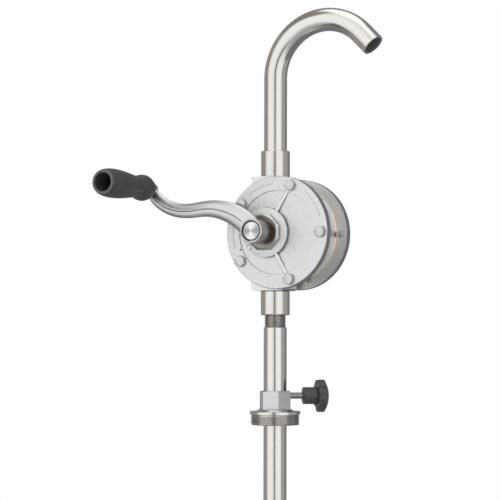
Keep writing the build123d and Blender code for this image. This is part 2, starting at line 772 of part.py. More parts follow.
spring_half = vane_root_r + spring_pocket_depth - run_gap
spring_coil_r = (spring_d - spring_wire) / 2
spring_pitch = (2 * spring_half - spring_wire) / spring_turns
with BuildPart() as vane_springs:
    for offset in (-spring_spacing / 2, spring_spacing / 2):
        foot = (shaft_x, window_mid + offset, shaft_z - spring_half + spring_wire / 2)
        with BuildLine():
            coil = Helix(spring_pitch, spring_pitch * spring_turns, spring_coil_r, center=foot)
        with BuildSketch(Plane(origin=coil @ 0, x_dir=(1, 0, 0), z_dir=(0, 1, 0))):
            Rectangle(spring_wire, spring_wire)
        sweep(path=coil, is_frenet=True)
finish(vane_springs, "vane_springs")

# ---------------------------------------------------------------- crank arm, key and circlip
arm_reach = shaft_x - grip_x
arm_rise = grip_z - shaft_z
arm_stations = (
    # On the arm's centre line: the share of its reach, the share of its rise, and its depth there
    (0.000, 0.000, 27.0),
    (0.096, 0.215, 26.5),
    (0.211, 0.395, 25.0),
    (0.358, 0.504, 21.6),
    (0.457, 0.520, 19.4),
    (0.580, 0.493, 18.0),
    (0.678, 0.491, 17.6),
    (0.793, 0.549, 17.4),
    (0.899, 0.682, 16.8),
    (0.968, 0.834, 15.8),
    (1.0, 1.0, eye_d),
)


def arm_section(share):
    """The arm's place along the shaft and its thickness: it leans forward and thins towards the grip."""
    return arm_y - arm_lean * share, arm_t + (arm_end_t - arm_t) * share


with BuildPart() as crank_arm:
    with BuildSketch(facing(grip_x, y_eye + eye_t / 2, grip_z)):
        Circle(eye_d / 2)
    extrude(amount=eye_t)
    fillet(crank_arm.edges(), eye_edge_r)
    with BuildSketch(facing(shaft_x, y_hub_back, shaft_z)):
        Circle(hub_d / 2)
    extrude(amount=hub_length)
    fillet(crank_arm.edges(Select.LAST), hub_edge_r)
    with BuildLine(mode=Mode.PRIVATE):
        centre_line = Spline(
            *[
                (shaft_x - arm_reach * share, arm_section(share)[0], shaft_z + arm_rise * height)
                for share, height, depth in arm_stations
            ]
        )
    for index, (share, height, depth) in enumerate(arm_stations):
        y, thickness = arm_section(share)
        along = centre_line % (index / (len(arm_stations) - 1))
        place = (shaft_x - arm_reach * share, y, shaft_z + arm_rise * height)
        with BuildSketch(Plane(origin=place, x_dir=(0, 1, 0), z_dir=along)):
            Ellipse(thickness / 2, depth / 2)
    loft()
    with BuildSketch(facing(shaft_x, y_hub_back, shaft_z)):
        Circle(shaft_r + seat_gap)
    extrude(amount=hub_length, mode=Mode.SUBTRACT)
    with BuildSketch(facing(shaft_x, shaft_end_y + hub_counterbore_depth, shaft_z)):
        Circle(hub_counterbore_d / 2)
    extrude(amount=hub_counterbore_depth, mode=Mode.SUBTRACT)
    with BuildSketch(facing(shaft_x, y_hub_back, shaft_z)):
        with Locations((0, shaft_r)):
            Rectangle(key_w + 2 * seat_gap, 2 * (key_h - key_in_shaft + seat_gap))
    extrude(amount=key_setback + key_length + 2 * seat_gap, mode=Mode.SUBTRACT)
    with BuildSketch(facing(grip_x, y_eye + eye_t / 2, grip_z)):
        Circle(spindle_d / 2 + seat_gap)
    extrude(amount=eye_t, mode=Mode.SUBTRACT)
finish(crank_arm, "crank_arm")

with BuildPart() as crank_key:
    with BuildSketch(facing(shaft_x, y_hub_back - key_setback - seat_gap, shaft_z)):
        with Locations((0, shaft_r - key_in_shaft + key_h / 2)):
            Rectangle(key_w, key_h - seat_gap)
    extrude(amount=key_length)
finish(crank_key, "crank_key")

with BuildPart() as crank_circlip:
    with BuildSketch(facing(shaft_x, y_circlip + circlip_t, shaft_z)):
        Circle(hub_counterbore_d / 2 - slide_gap)
        Circle(shaft_r - circlip_bite + seat_gap, mode=Mode.SUBTRACT)
        with BuildLine():
            half_gap = radians(circlip_gap_deg / 2)
            Polyline(
                (0, 0),
                (-hub_d * sin(half_gap), -hub_d * cos(half_gap)),
                (hub_d * sin(half_gap), -hub_d * cos(half_gap)),
                close=True,
            )
        make_face(mode=Mode.SUBTRACT)
    extrude(amount=circlip_t)
finish(crank_circlip, "crank_circlip")

# ---------------------------------------------------------------- grip and its spindle
with BuildPart() as grip_spindle:
    with BuildSketch(facing(grip_x, y_eye + eye_t / 2, grip_z)):
        Circle(spindle_d / 2)
    extrude(amount=y_eye + eye_t / 2 - y_nut_seat - nut_washer_t)
    with BuildSketch(facing(grip_x, y_eye_face, grip_z)):
        Circle(collar_d / 2)
    extrude(amount=collar_t)
    with BuildSketch(facing(grip_x, y_nut_seat + nut_washer_t, grip_z)):
        Circle(spindle_thread_d / 2)
    extrude(amount=nut_washer_t + spindle_nut_h + spindle_end)
finish(grip_spindle, "grip_spindle")

with BuildPart() as grip_washer:
    with BuildSketch(facing(grip_x, y_nut_seat + nut_washer_t, grip_z)):
        Circle(nut_washer_d / 2)
        Circle(spindle_thread_d / 2 + seat_gap, mode=Mode.SUBTRACT)
    extrude(amount=nut_washer_t)
finish(grip_washer, "grip_washer")

with BuildPart() as grip_nut:
    with BuildSketch(facing(grip_x, y_nut_seat, grip_z)):
        RegularPolygon(spindle_nut_af / 2, 6, major_radius=False)
        Circle(spindle_thread_d / 2 + seat_gap, mode=Mode.SUBTRACT)
    extrude(amount=spindle_nut_h)
finish(grip_nut, "grip_nut")

# The grip's outline, as radius and distance from the arm: a bulb, a small step at the waist, a long barrel.
grip_bulb = ((8.5, 0), (12.5, 4.8), (15.9, 14.5), (14.9, 23.5), (12.2, 31.5))
grip_barrel = (
    (13.2, 32.5),
    (14.3, 44.0),
    (15.8, 56.0),
    (17.3, 78.0),
    (16.5, 94.0),
    (grip_end_r, grip_length),
)
with BuildPart() as hand_grip:
    with BuildSketch(Plane(origin=(grip_x, y_grip_back, grip_z), x_dir=(1, 0, 0), z_dir=(0, 0, -1))):
        with BuildLine():
            Line((0, 0), grip_bulb[0])
            Spline(*grip_bulb, tangents=((1, 0.15), (-0.25, 1)))
            Line(grip_bulb[-1], grip_barrel[0])
            Spline(*grip_barrel, tangents=((0.05, 1), (-0.35, 0.6)))
            Line(grip_barrel[-1], (0, grip_length))
            Line((0, grip_length), (0, 0))
        make_face()
    revolve(axis=Axis((grip_x, y_grip_back, grip_z), (0, -1, 0)))
    with BuildSketch(facing(grip_x, y_grip_back, grip_z)):
        Circle(spindle_d / 2 + hole_gap)
    extrude(amount=grip_length, mode=Mode.SUBTRACT)
    with BuildSketch(facing(grip_x, y_mouth_floor, grip_z)):
        Circle(grip_mouth_r)
    extrude(amount=grip_mouth_depth, mode=Mode.SUBTRACT)
    fillet(hand_grip.edges().group_by(Axis.Y)[0], grip_mouth_edge_r)
finish(hand_grip, "hand_grip")
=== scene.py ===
import json
from math import cos, pi, radians, sin

import bmesh
import bpy
from mathutils import Matrix, Vector


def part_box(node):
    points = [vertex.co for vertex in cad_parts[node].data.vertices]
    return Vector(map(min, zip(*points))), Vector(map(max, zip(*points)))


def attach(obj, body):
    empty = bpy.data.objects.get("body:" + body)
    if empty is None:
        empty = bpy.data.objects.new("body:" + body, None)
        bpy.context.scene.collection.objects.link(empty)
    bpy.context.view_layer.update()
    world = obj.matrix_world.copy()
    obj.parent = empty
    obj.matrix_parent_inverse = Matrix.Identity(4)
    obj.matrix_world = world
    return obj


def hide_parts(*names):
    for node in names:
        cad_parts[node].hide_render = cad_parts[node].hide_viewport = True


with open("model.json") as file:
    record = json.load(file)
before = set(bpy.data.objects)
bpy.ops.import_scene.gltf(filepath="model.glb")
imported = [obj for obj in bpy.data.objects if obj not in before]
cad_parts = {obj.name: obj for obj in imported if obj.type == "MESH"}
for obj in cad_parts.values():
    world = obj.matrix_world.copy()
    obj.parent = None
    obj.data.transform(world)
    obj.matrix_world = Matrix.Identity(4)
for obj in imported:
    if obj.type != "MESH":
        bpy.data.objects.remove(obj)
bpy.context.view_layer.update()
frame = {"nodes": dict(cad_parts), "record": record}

# A rotary drum pump in stainless steel. Metres, +Z up, the origin under the bung adapter's flange.
# The finished pieces are dressed copies of the frame's nodes, with threads, relief and fine edges added.


# ---------------------------------------------------------------- where things are
def middle(node):
    low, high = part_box(node)
    return (low + high) / 2


def node_copy(node):
    """The node's mesh as a bmesh, with its loose triangles joined and its flat faces made whole."""
    maker = bmesh.new()
    maker.from_mesh(frame["nodes"][node].data)
    bmesh.ops.remove_doubles(maker, verts=maker.verts, dist=2e-6)
    bmesh.ops.dissolve_limit(maker, angle_limit=radians(0.5), verts=maker.verts, edges=maker.edges)
    return maker


def cut_across(maker, place, facing, clear_outer=False):
    """Cut the whole mesh at a plane. Gives what lies on the cut."""
    return bmesh.ops.bisect_plane(
        maker, geom=maker.verts[:] + maker.edges[:] + maker.faces[:],
        plane_co=place, plane_no=facing, clear_outer=clear_outer,
    )["geom_cut"]


COVER_PLATE = 0.0095
COVER_LOW, COVER_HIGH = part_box("front_cover")
COVER_MID = (COVER_LOW + COVER_HIGH) / 2
COVER_R = (COVER_HIGH.x - COVER_LOW.x) / 2
CASING_MID = Vector((COVER_MID.x, 0, COVER_MID.z))
COVER_FACE = COVER_HIGH.y - COVER_PLATE
HUB_MID = Vector((middle("gland_nut").x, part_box("crank_arm")[0].y, middle("gland_nut").z))
HUB_R = 0.0145
BOSS_FOOT_R, BOSS_SIDE_R = 0.0299, (0.0222, 0.0305)
WEB_RING_R = 0.0500
NUT_RECESS_R = 0.0191
RIM_BAND, GRIP_BAND = 0.0014, 0.0012
HEXAGON_LOW_Z, HEXAGON_INNER_R = 0.012, 0.0165
FOOT_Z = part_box("suction_tube")[0].z
BORE_R = 0.0115
GRIP_MOUTH_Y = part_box("hand_grip")[0].y
GRIP_WAIST_Y = GRIP_MOUTH_Y + 0.0705
GRIP_MID = middle("hand_grip")
CLAMP_TURN = radians(40)
CLAMP_Z = middle("clamp_stud").z


# ---------------------------------------------------------------- node groups and materials
def new_group(name, inputs, outputs):
    group = bpy.data.node_groups.new(name, "ShaderNodeTree")
    for label, kind, value in inputs:
        socket = group.interface.new_socket(name=label, in_out="INPUT", socket_type=kind)
        if value is not None:
            socket.default_value = value
    for label, kind in outputs:
        group.interface.new_socket(name=label, in_out="OUTPUT", socket_type=kind)
    nodes = group.nodes
    return group, nodes.new("NodeGroupInput"), nodes.new("NodeGroupOutput")


def put(tree, kind, **settings):
    node = tree.nodes.new(kind)
    for key, value in settings.items():
        setattr(node, key, value)
    return node


def math_node(tree, operation, first, second, clamp=False):
    node = put(tree, "ShaderNodeMath", operation=operation, use_clamp=clamp)
    for socket, value in zip(node.inputs, (first, second)):
        if isinstance(value, (int, float)):
            socket.default_value = value
        else:
            tree.links.new(value, socket)
    return node.outputs[0]


def noise(tree, vector, scale, detail, roughness=0.5):
    node = put(tree, "ShaderNodeTexNoise")
    node.inputs["Scale"].default_value = scale
    node.inputs["Detail"].default_value = detail
    node.inputs["Roughness"].default_value = roughness
    tree.links.new(vector, node.inputs["Vector"])
    return node.outputs["Fac"]


def stretched(tree, vector, scale):
    node = put(tree, "ShaderNodeMapping")
    node.inputs["Scale"].default_value = scale
    tree.links.new(vector, node.inputs["Vector"])
    return node.outputs["Vector"]


def make_brush_group():
    """Fine brushing lines and soft patches of duller metal, on stretched coordinates."""
    group, given, result = new_group(
        "brushing",
        (("Vector", "NodeSocketVector", None), ("Fineness", "NodeSocketFloat", 900.0)),
        (("Lines", "NodeSocketFloat"), ("Patches", "NodeSocketFloat")),
    )
    lines = put(group, "ShaderNodeTexNoise")
    lines.inputs["Detail"].default_value = 3.0
    lines.inputs["Roughness"].default_value = 0.7
    group.links.new(given.outputs["Vector"], lines.inputs["Vector"])
    group.links.new(given.outputs["Fineness"], lines.inputs["Scale"])
    patches = noise(group, given.outputs["Vector"], 24.0, 2.0)
    group.links.new(lines.outputs["Fac"], result.inputs["Lines"])
    group.links.new(patches, result.inputs["Patches"])
    return group


def make_grain_group():
    """The pebbled skin of a blasted casting or of moulded plastic: fine pits over soft hollows."""
    group, given, result = new_group(
        "cast skin",
        (("Vector", "NodeSocketVector", None), ("Grain", "NodeSocketFloat", 700.0)),
        (("Height", "NodeSocketFloat"), ("Mottle", "NodeSocketFloat")),
    )
    fine = put(group, "ShaderNodeTexNoise")
    fine.inputs["Detail"].default_value = 4.0
    fine.inputs["Roughness"].default_value = 0.6
    group.links.new(given.outputs["Vector"], fine.inputs["Vector"])
    group.links.new(given.outputs["Grain"], fine.inputs["Scale"])
    soft = noise(group, given.outputs["Vector"], 260.0, 3.0, 0.6)
    height = math_node(group, "ADD", fine.outputs["Fac"], soft)
    group.links.new(height, result.inputs["Height"])
    group.links.new(soft, result.inputs["Mottle"])
    return group


def make_corner_group():
    """Painted shade in the corners, where other faces stand close: an ambient occlusion node darkens the
    colour there.
    """
    group, given, result = new_group(
        "corner grime",
        (
            ("Colour", "NodeSocketColor", None),
            ("Reach", "NodeSocketFloat", 0.002),
            ("Shade", "NodeSocketFloat", 0.35),
        ),
        (("Colour", "NodeSocketColor"),),
    )
    corner = put(group, "ShaderNodeAmbientOcclusion", samples=12)
    group.links.new(given.outputs["Reach"], corner.inputs["Distance"])
    tight = put(group, "ShaderNodeMapRange", interpolation_type="SMOOTHSTEP")
    tight.inputs["From Min"].default_value = 0.35
    tight.inputs["From Max"].default_value = 0.85
    group.links.new(given.outputs["Shade"], tight.inputs["To Min"])
    group.links.new(corner.outputs["AO"], tight.inputs["Value"])
    node = put(group, "ShaderNodeMix", data_type="RGBA", blend_type="MULTIPLY")
    node.inputs["Factor"].default_value = 1.0
    group.links.new(given.outputs["Colour"], node.inputs["A"])
    group.links.new(tight.outputs["Result"], node.inputs["B"])
    group.links.new(node.outputs["Result"], result.inputs["Colour"])
    return group


def make_lathe_group():
    """Fine rings about the Y axis, and a painted sheen that gathers in two opposite wedges."""
    group, given, result = new_group(
        "lathe rings",
        (("Vector", "NodeSocketVector", None), ("Wedges", "NodeSocketFloat", 0.0)),
        (("Rings", "NodeSocketFloat"), ("Shine", "NodeSocketFloat")),
    )
    apart = put(group, "ShaderNodeSeparateXYZ")
    group.links.new(given.outputs["Vector"], apart.inputs[0])
    across = math_node(group, "MULTIPLY", apart.outputs["X"], apart.outputs["X"])
    upward = math_node(group, "MULTIPLY", apart.outputs["Z"], apart.outputs["Z"])
    radius = math_node(group, "SQRT", math_node(group, "ADD", across, upward), 0.0)
    rings = math_node(group, "SINE", math_node(group, "MULTIPLY", radius, 2 * pi / 0.0011), 0.0)
    turn = math_node(group, "ARCTAN2", apart.outputs["X"], apart.outputs["Z"])
    wedge = math_node(group, "COSINE", math_node(group, "MULTIPLY", turn, 2.0), 0.0)
    shine = math_node(group, "ADD", math_node(group, "MULTIPLY", wedge, given.outputs["Wedges"]), 0.5)
    shine = math_node(group, "ADD", shine, math_node(group, "MULTIPLY", rings, 0.12), clamp=True)
    group.links.new(rings, result.inputs["Rings"])
    group.links.new(shine, result.inputs["Shine"])
    return group


BRUSHING = make_brush_group()
CAST_SKIN = make_grain_group()
CORNER_GRIME = make_corner_group()
LATHE_RINGS = make_lathe_group()


def seen_or_mirrored(tree):
    """1 for a camera ray and for one that was mirrored or let through, 0 for any other."""
    ray = put(tree, "ShaderNodeLightPath")
    both = math_node(tree, "ADD", ray.outputs["Is Camera Ray"], ray.outputs["Is Glossy Ray"])
    return math_node(tree, "ADD", both, ray.outputs["Is Transmission Ray"], clamp=True)


ALONG_TUBE = (1.0, 1.0, 0.03)
AROUND_TUBE = (0.05, 0.05, 1.0)
ALONG_ARM = (0.06, 1.0, 0.2)
ALONG_SHAFT = (1.0, 0.05, 1.0)
ANY_WAY = (1.0, 1.0, 1.0)


def new_material(name):
    material = bpy.data.materials.new(name)
    material.use_nodes = True
    tree = material.node_tree
    shader = tree.nodes["Principled BSDF"]
    place = put(tree, "ShaderNodeTexCoord").outputs["Object"]
    return material, tree, shader, place


def between(tree, factor, low, high):
    """A number that runs from low to high as the factor goes from 0 to 1."""
    node = put(tree, "ShaderNodeMapRange")
    tree.links.new(factor, node.inputs["Value"])
    node.inputs["To Min"].default_value = low
    node.inputs["To Max"].default_value = high
    return node.outputs["Result"]


def tinted(tree, factor, dark, light):
    node = put(tree, "ShaderNodeMix", data_type="RGBA")
    tree.links.new(factor, node.inputs["Factor"])
    node.inputs["A"].default_value = (*dark, 1)
    node.inputs["B"].default_value = (*light, 1)
    return node.outputs["Result"]


def bumped(tree, shader, height, strength, distance):
    node = put(tree, "ShaderNodeBump")
    node.inputs["Strength"].default_value = strength
    node.inputs["Distance"].default_value = distance
    tree.links.new(height, node.inputs["Height"])
    tree.links.new(node.outputs["Normal"], shader.inputs["Normal"])


def shaded_in_corners(tree, colour, reach, shade):
    """The colour with painted shade gathered in the corners."""
    corner = put(tree, "ShaderNodeGroup", node_tree=CORNER_GRIME)
    corner.inputs["Reach"].default_value = reach
    corner.inputs["Shade"].default_value = shade
    tree.links.new(colour, corner.inputs["Colour"])
    return corner.outputs["Colour"]


def brushed_metal(name, dark, light, roughness, stretch, fineness=900.0, shade=None):
    """Satin stainless steel, brushed along the axis where the stretch is small. Given a shade, its corners
    take painted shade.
    """
    material, tree, shader, place = new_material(name)
    shader.inputs["Metallic"].default_value = 1.0
    brush = put(tree, "ShaderNodeGroup", node_tree=BRUSHING)
    brush.inputs["Fineness"].default_value = fineness
    tree.links.new(stretched(tree, place, stretch), brush.inputs["Vector"])
    colour = tinted(tree, brush.outputs["Patches"], dark, light)
    if shade is not None:
        colour = shaded_in_corners(tree, colour, 0.0013, shade)
    tree.links.new(colour, shader.inputs["Base Color"])
    low, high = roughness
    mixed = math_node(tree, "MULTIPLY", brush.outputs["Lines"], brush.outputs["Patches"])
    tree.links.new(between(tree, mixed, low, high), shader.inputs["Roughness"])
    bumped(tree, shader, brush.outputs["Lines"], 0.12, 0.0002)
    return material


def cast_metal(name, dark, light, roughness, strength, grain=700.0, shade=0.35):
    """A blasted stainless casting: pale, matt, with a fine pebbled skin and painted shade in its corners."""
    material, tree, shader, place = new_material(name)
    shader.inputs["Metallic"].default_value = 1.0
    skin = put(tree, "ShaderNodeGroup", node_tree=CAST_SKIN)
    skin.inputs["Grain"].default_value = grain
    tree.links.new(place, skin.inputs["Vector"])
    colour = shaded_in_corners(tree, tinted(tree, skin.outputs["Mottle"], dark, light), 0.0022, shade)
    tree.links.new(colour, shader.inputs["Base Color"])
    low, high = roughness
    tree.links.new(between(tree, skin.outputs["Mottle"], low, high), shader.inputs["Roughness"])
    bumped(tree, shader, skin.outputs["Height"], strength, 0.0004)
    return material


def turned_metal(name, dark, light, roughness, wedges=0.0):
    """Steel faced on a lathe: fine rings about the shaft, and a painted sheen in its colour that gathers in
    two opposite wedges.
    """
    material, tree, shader, place = new_material(name)
    shader.inputs["Metallic"].default_value = 1.0
    centred = put(tree, "ShaderNodeMapping", vector_type="POINT")
    centred.inputs["Location"].default_value = (-HUB_MID.x, 0, -HUB_MID.z)
    tree.links.new(place, centred.inputs["Vector"])
    lathe = put(tree, "ShaderNodeGroup", node_tree=LATHE_RINGS)
    lathe.inputs["Wedges"].default_value = wedges
    tree.links.new(centred.outputs["Vector"], lathe.inputs["Vector"])
    tree.links.new(tinted(tree, lathe.outputs["Shine"], dark, light), shader.inputs["Base Color"])
    low, high = roughness
    tree.links.new(between(tree, noise(tree, place, 300.0, 2.0), low, high), shader.inputs["Roughness"])
    bumped(tree, shader, lathe.outputs["Rings"], 0.06, 0.00005)
    return material


def forged_arm(name, crease, dark, light, roughness):
    """Satin forged steel with a thin parting crease along the front of the arm, bumped in and darkened in its
    colour as painted shade, and painted shade in its corners.
    """
    material, tree, shader, place = new_material(name)
    shader.inputs["Metallic"].default_value = 1.0
    brush = put(tree, "ShaderNodeGroup", node_tree=BRUSHING)
    tree.links.new(stretched(tree, place, ALONG_ARM), brush.inputs["Vector"])
    apart = put(tree, "ShaderNodeSeparateXYZ")
    tree.links.new(place, apart.inputs[0])
    line = put(tree, "ShaderNodeFloatCurve")
    places = [x for x, z in crease]
    heights = [z for x, z in crease]
    low_x, high_x, low_z, high_z = min(places), max(places), min(heights), max(heights)
    curve = line.mapping.curves[0]
    spots = [((x - low_x) / (high_x - low_x), (z - low_z) / (high_z - low_z)) for x, z in crease]
    curve.points[0].location = spots[0]
    curve.points[1].location = spots[-1]
    for share, height in spots[1:-1]:
        curve.points.new(share, height)
    line.mapping.update()
    along = put(tree, "ShaderNodeMapRange")
    along.inputs["From Min"].default_value = low_x
    along.inputs["From Max"].default_value = high_x
    tree.links.new(apart.outputs["X"], along.inputs["Value"])
    tree.links.new(along.outputs["Result"], line.inputs["Value"])
    height = between(tree, line.outputs["Value"], low_z, high_z)
    apart_by = math_node(tree, "ABSOLUTE", math_node(tree, "SUBTRACT", apart.outputs["Z"], height), 0.0)
    near = put(tree, "ShaderNodeMapRange", interpolation_type="SMOOTHSTEP")
    near.inputs["From Min"].default_value = 0.0003
    near.inputs["From Max"].default_value = 0.0011
    near.inputs["To Min"].default_value = 1.0
    near.inputs["To Max"].default_value = 0.0
    tree.links.new(apart_by, near.inputs["Value"])
    facing = put(tree, "ShaderNodeSeparateXYZ")
    tree.links.new(put(tree, "ShaderNodeNewGeometry").outputs["Normal"], facing.inputs[0])
    front = math_node(tree, "LESS_THAN", facing.outputs["Y"], -0.2)
    before_hub = math_node(tree, "LESS_THAN", apart.outputs["X"], high_x)
    on_front = math_node(tree, "MULTIPLY", front, before_hub)
    groove = math_node(tree, "MULTIPLY", near.outputs["Result"], on_front)
    colour = shaded_in_corners(tree, tinted(tree, brush.outputs["Patches"], dark, light), 0.0025, 0.3)
    # The crease's dark line is painted shade over its bump.
    darker = put(tree, "ShaderNodeMix", data_type="RGBA", blend_type="MULTIPLY")
    tree.links.new(groove, darker.inputs["Factor"])
    tree.links.new(colour, darker.inputs["A"])
    darker.inputs["B"].default_value = (0.35, 0.34, 0.34, 1)
    tree.links.new(darker.outputs["Result"], shader.inputs["Base Color"])
    low, high = roughness
    tree.links.new(between(tree, brush.outputs["Lines"], low, high), shader.inputs["Roughness"])
    depth = math_node(tree, "SUBTRACT", math_node(tree, "MULTIPLY", brush.outputs["Lines"], 0.05), groove)
    bumped(tree, shader, depth, 0.5, 0.0006)
    return material


def plastic(name, dark, light, roughness, strength, grain, shade=0.6):
    """Moulded plastic or rubber with a fine skin, painted shade in its corners, and the dull wall inside a
    pipe.
    """
    material, tree, shader, place = new_material(name)
    skin = put(tree, "ShaderNodeGroup", node_tree=CAST_SKIN)
    skin.inputs["Grain"].default_value = grain
    tree.links.new(place, skin.inputs["Vector"])
    colour = shaded_in_corners(tree, tinted(tree, skin.outputs["Mottle"], dark, light), 0.006, shade)
    tree.links.new(colour, shader.inputs["Base Color"])
    low, high = roughness
    tree.links.new(between(tree, skin.outputs["Mottle"], low, high), shader.inputs["Roughness"])
    bumped(tree, shader, skin.outputs["Height"], strength, 0.0002)
    return material


TUBE_STEEL = brushed_metal(
    "tube steel", (0.69, 0.67, 0.645), (0.80, 0.785, 0.765), (0.14, 0.26), ALONG_TUBE, 900.0, 0.35
)
SOCKET_STEEL = brushed_metal(
    "socket steel", (0.69, 0.67, 0.65), (0.80, 0.785, 0.77), (0.16, 0.28), AROUND_TUBE, 900.0, 0.35
)
ADAPTER_STEEL = brushed_metal(
    "adapter steel", (0.68, 0.67, 0.65), (0.80, 0.79, 0.77), (0.16, 0.3), AROUND_TUBE, 900.0, 0.3
)
FASTENER_STEEL = brushed_metal(
    "fastener steel", (0.56, 0.555, 0.55), (0.70, 0.695, 0.69), (0.24, 0.38), ANY_WAY, 1500.0, 0.2
)
THREAD_STEEL = brushed_metal(
    "thread steel", (0.52, 0.495, 0.475), (0.62, 0.60, 0.58), (0.24, 0.36), ANY_WAY, 1200.0
)
NUT_STEEL = brushed_metal(
    "nut steel", (0.66, 0.655, 0.65), (0.78, 0.775, 0.77), (0.24, 0.36), ANY_WAY, 1200.0, 0.3
)
BLACKED_STEEL = brushed_metal(
    "blacked spring steel", (0.07, 0.07, 0.07), (0.11, 0.11, 0.11), (0.3, 0.45), ANY_WAY
)
SPRING_STEEL = brushed_metal(
    "spring steel", (0.45, 0.45, 0.46), (0.58, 0.58, 0.59), (0.2, 0.35), ANY_WAY, 1500.0
)
# Rims: a smoother turned finish, and a darker bluish base as painted reflection.
RIM_STEEL = brushed_metal("turned rim", (0.54, 0.55, 0.60), (0.64, 0.65, 0.70), (0.16, 0.28), ALONG_SHAFT)
# Ribs: a smoother finish, and a lighter base than the cover as painted highlight.
RIB_STEEL = cast_metal(
    "polished rib", (0.80, 0.80, 0.80), (0.90, 0.90, 0.90), (0.26, 0.36), 0.3, 700.0, 0.2
)
COVER_STEEL = cast_metal(
    "cover casting", (0.66, 0.66, 0.655), (0.90, 0.90, 0.895), (0.32, 0.48), 0.9, 620.0, 0.18
)
FLAT_STEEL = cast_metal(
    "milled flats", (0.76, 0.76, 0.76), (0.86, 0.86, 0.86), (0.46, 0.56), 0.15, 900.0, 0.3
)
CASING_STEEL = cast_metal("casing", (0.84, 0.825, 0.80), (0.94, 0.925, 0.90), (0.36, 0.5), 0.35, 620.0, 0.6)
# The shaft's end takes a strong painted sheen: its colour runs from dark to light in two opposite wedges.
SHAFT_STEEL = turned_metal("turned shaft", (0.34, 0.34, 0.34), (0.84, 0.84, 0.83), (0.2, 0.32), 0.5)
# A dark steel for the boss's side and the hub's side: painted shade on them.
HUB_STEEL = turned_metal("turned hub", (0.26, 0.26, 0.245), (0.40, 0.40, 0.38), (0.2, 0.3))
# A brown-dark steel for the gland nut's recess: painted shade in it.
GLAND_STEEL = turned_metal("turned gland", (0.24, 0.215, 0.20), (0.38, 0.345, 0.33), (0.26, 0.36))
CREASE_START_X = HUB_MID.x - 0.0142
CREASE_END_X = GRIP_MID.x + 0.0124
CREASE_STATIONS = 9
CREASE_SHARES = (0.50, 0.59)


def crease_point(share):
    """The parting crease at a share of its way from hub to grip: midway down the arm, then a little lower."""
    x = CREASE_START_X + share * (CREASE_END_X - CREASE_START_X)
    arm = node_copy("crank_arm")
    on_cut = cut_across(arm, (x, 0, 0), (1, 0, 0))
    heights = [item.co.z for item in on_cut if isinstance(item, bmesh.types.BMVert)]
    arm.free()
    at_hub, at_grip = CREASE_SHARES
    return x, max(heights) - (at_hub + (at_grip - at_hub) * share) * (max(heights) - min(heights))


CREASE_TIP = (GRIP_MID.x - 0.003, GRIP_MID.z - 0.004)
ARM_CREASE = (
    CREASE_TIP, *(crease_point(step / (CREASE_STATIONS - 1)) for step in reversed(range(CREASE_STATIONS)))
)
ARM_STEEL = forged_arm("arm steel", ARM_CREASE, (0.68, 0.675, 0.67), (0.78, 0.775, 0.77), (0.3, 0.44))
WHITE_PLASTIC = plastic("ptfe", (0.80, 0.79, 0.76), (0.88, 0.87, 0.85), (0.4, 0.55), 0.1, 400.0)
RUBBER = plastic("gasket rubber", (0.03, 0.03, 0.032), (0.05, 0.05, 0.052), (0.6, 0.8), 0.2, 500.0)
GRIP_PLASTIC = plastic(
    "grip plastic", (0.078, 0.068, 0.068), (0.140, 0.126, 0.126), (0.34, 0.46), 0.7, 600.0, 0.45
)
# A lighter plastic on the grip's mouth and waist edges: painted highlight.
WORN_PLASTIC = plastic(
    "worn grip edge", (0.17, 0.155, 0.165), (0.23, 0.215, 0.225), (0.4, 0.5), 0.4, 600.0, 0.6
)
KNOB_PLASTIC = plastic(
    "knob plastic", (0.084, 0.074, 0.079), (0.130, 0.118, 0.125), (0.24, 0.36), 0.5, 600.0, 0.3
)
BORE_STEEL = plastic("pickled bore", (0.20, 0.175, 0.17), (0.34, 0.31, 0.305), (0.5, 0.65), 0.3, 400.0)

NODE_FINISH = {
    "suction_tube": TUBE_STEEL,
    "discharge_spout": TUBE_STEEL,
    "inlet_socket": SOCKET_STEEL,
    "outlet_socket": SOCKET_STEEL,
    "bung_adapter": ADAPTER_STEEL,
    "pump_casing": CASING_STEEL,
    "rear_cover": CASING_STEEL,
    "front_cover": COVER_STEEL,
    "crank_arm": ARM_STEEL,
    "rotor_shaft": SHAFT_STEEL,
    "crank_key": SHAFT_STEEL,
    "gland_nut": NUT_STEEL,
    "vane_springs": SPRING_STEEL,
    "crank_circlip": BLACKED_STEEL,
    "upper_vane": WHITE_PLASTIC,
    "lower_vane": WHITE_PLASTIC,
    "shaft_packing": WHITE_PLASTIC,
    "clamp_tip": WHITE_PLASTIC,
    "front_bush": WHITE_PLASTIC,
    "rear_bush": WHITE_PLASTIC,
    "front_gasket": RUBBER,
    "rear_gasket": RUBBER,
    "tube_seal": RUBBER,
    "hand_grip": GRIP_PLASTIC,
    "clamp_knob": KNOB_PLASTIC,
}
SLOT_OF = {entry["node"]: entry["material_slot"] for entry in frame["record"]["subparts"]}
BODY_OF = {
    node: body for body, members in frame["record"]["behaviour"]["bodies"].items() for node in members
}


# ---------------------------------------------------------------- making pieces
def add_object(name, data):
    thing = bpy.data.objects.new(name, data)
    bpy.context.scene.collection.objects.link(thing)
    return thing


def add_piece(name, mesh_maker, material, body, slot, smooth_angle=32, extra=()):
    """Turn a bmesh into an object that rides on a body. Faces of index 1 and up take the extra finishes."""
    for edge in mesh_maker.edges:
        edge.smooth = len(edge.link_faces) == 2 and edge.calc_face_angle(0) < radians(smooth_angle)
    for face in mesh_maker.faces:
        face.smooth = True
    mesh = bpy.data.meshes.new(name)
    mesh_maker.to_mesh(mesh)
    mesh_maker.free()
    piece = add_object(name, mesh)
    for finish in (material, *extra):
        mesh.materials.append(finish)
    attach(piece, body)
    return piece


def soft_edges(piece, width):
    bevel = piece.modifiers.new("soft edges", "BEVEL")
    bevel.width = width
    bevel.segments = 2
    bevel.limit_method = "ANGLE"
    bevel.angle_limit = radians(35)
    bevel.harden_normals = True


